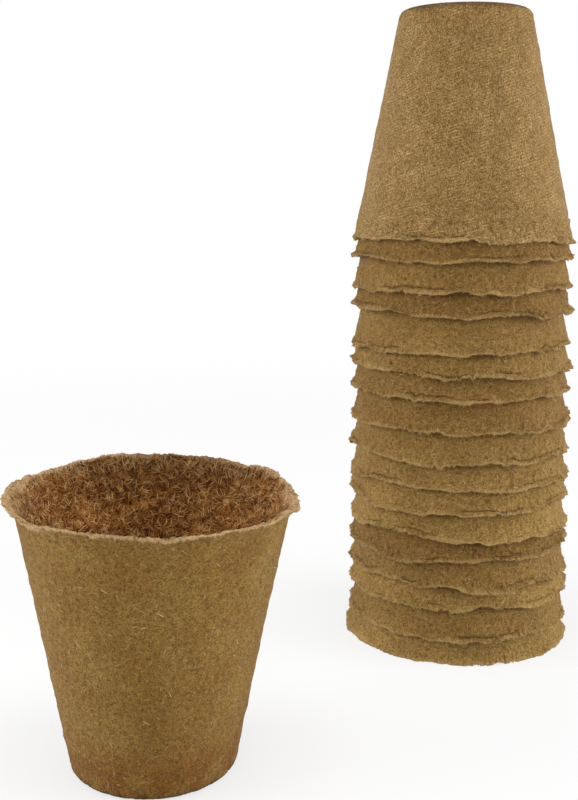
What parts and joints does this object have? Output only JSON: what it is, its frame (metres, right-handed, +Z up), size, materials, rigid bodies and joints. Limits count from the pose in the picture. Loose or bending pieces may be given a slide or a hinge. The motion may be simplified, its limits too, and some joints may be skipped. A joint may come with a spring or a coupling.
{
  "type": "peat pot set",
  "caption": "Tapered round seedling pots of pressed peat and wood fibre with torn flared rims: a pot standing mouth up beside a tall stack nested upside down.",
  "frame": {"origin": "on the surface the pots stand on, midway between the standing pot's axis and the stack's", "axes": "+Z up along the pots' axes, +X and +Y from the standing pot towards the stack"},
  "size_m": [0.1894, 0.1914, 0.2335],
  "materials": {
    "peat_fibre": "matte pressed peat and wood fibre, flecked"
  },
  "bodies": {
    "standing_pot": {"standing_pot": "peat_fibre"},
    "stack_pot_01": {"stack_pot_01": "peat_fibre"},
    "stack_pot_02": {"stack_pot_02": "peat_fibre"},
    "stack_pot_03": {"stack_pot_03": "peat_fibre"},
    "stack_pot_04": {"stack_pot_04": "peat_fibre"},
    "stack_pot_05": {"stack_pot_05": "peat_fibre"},
    "stack_pot_06": {"stack_pot_06": "peat_fibre"},
    "stack_pot_07": {"stack_pot_07": "peat_fibre"},
    "stack_pot_08": {"stack_pot_08": "peat_fibre"},
    "stack_pot_09": {"stack_pot_09": "peat_fibre"},
    "stack_pot_10": {"stack_pot_10": "peat_fibre"},
    "stack_pot_11": {"stack_pot_11": "peat_fibre"},
    "stack_pot_12": {"stack_pot_12": "peat_fibre"},
    "stack_pot_13": {"stack_pot_13": "peat_fibre"},
    "stack_pot_14": {"stack_pot_14": "peat_fibre"},
    "stack_pot_15": {"stack_pot_15": "peat_fibre"},
    "stack_pot_16": {"stack_pot_16": "peat_fibre"},
    "stack_pot_17": {"stack_pot_17": "peat_fibre"}
  },
  "joints": [
    {"name": "standing_pot_lift", "type": "slide", "parent": "stack_pot_01", "child": "standing_pot", "axis": [0, 0, 1], "range_m": [0, 0.082]},
    {"name": "stack_pot_02_lift", "type": "slide", "parent": "stack_pot_01", "child": "stack_pot_02", "axis": [0, 0, 1], "range_m": [0, 0.082]},
    {"name": "stack_pot_03_lift", "type": "slide", "parent": "stack_pot_02", "child": "stack_pot_03", "axis": [0, 0, 1], "range_m": [0, 0.082]},
    {"name": "stack_pot_04_lift", "type": "slide", "parent": "stack_pot_03", "child": "stack_pot_04", "axis": [0, 0, 1], "range_m": [0, 0.082]},
    {"name": "stack_pot_05_lift", "type": "slide", "parent": "stack_pot_04", "child": "stack_pot_05", "axis": [0, 0, 1], "range_m": [0, 0.082]},
    {"name": "stack_pot_06_lift", "type": "slide", "parent": "stack_pot_05", "child": "stack_pot_06", "axis": [0, 0, 1], "range_m": [0, 0.082]},
    {"name": "stack_pot_07_lift", "type": "slide", "parent": "stack_pot_06", "child": "stack_pot_07", "axis": [0, 0, 1], "range_m": [0, 0.082]},
    {"name": "stack_pot_08_lift", "type": "slide", "parent": "stack_pot_07", "child": "stack_pot_08", "axis": [0, 0, 1], "range_m": [0, 0.082]},
    {"name": "stack_pot_09_lift", "type": "slide", "parent": "stack_pot_08", "child": "stack_pot_09", "axis": [0, 0, 1], "range_m": [0, 0.082]},
    {"name": "stack_pot_10_lift", "type": "slide", "parent": "stack_pot_09", "child": "stack_pot_10", "axis": [0, 0, 1], "range_m": [0, 0.082]},
    {"name": "stack_pot_11_lift", "type": "slide", "parent": "stack_pot_10", "child": "stack_pot_11", "axis": [0, 0, 1], "range_m": [0, 0.082]},
    {"name": "stack_pot_12_lift", "type": "slide", "parent": "stack_pot_11", "child": "stack_pot_12", "axis": [0, 0, 1], "range_m": [0, 0.082]},
    {"name": "stack_pot_13_lift", "type": "slide", "parent": "stack_pot_12", "child": "stack_pot_13", "axis": [0, 0, 1], "range_m": [0, 0.082]},
    {"name": "stack_pot_14_lift", "type": "slide", "parent": "stack_pot_13", "child": "stack_pot_14", "axis": [0, 0, 1], "range_m": [0, 0.082]},
    {"name": "stack_pot_15_lift", "type": "slide", "parent": "stack_pot_14", "child": "stack_pot_15", "axis": [0, 0, 1], "range_m": [0, 0.082]},
    {"name": "stack_pot_16_lift", "type": "slide", "parent": "stack_pot_15", "child": "stack_pot_16", "axis": [0, 0, 1], "range_m": [0, 0.082]},
    {"name": "stack_pot_17_lift", "type": "slide", "parent": "stack_pot_16", "child": "stack_pot_17", "axis": [0, 0, 1], "range_m": [0, 0.082]}
  ]
}
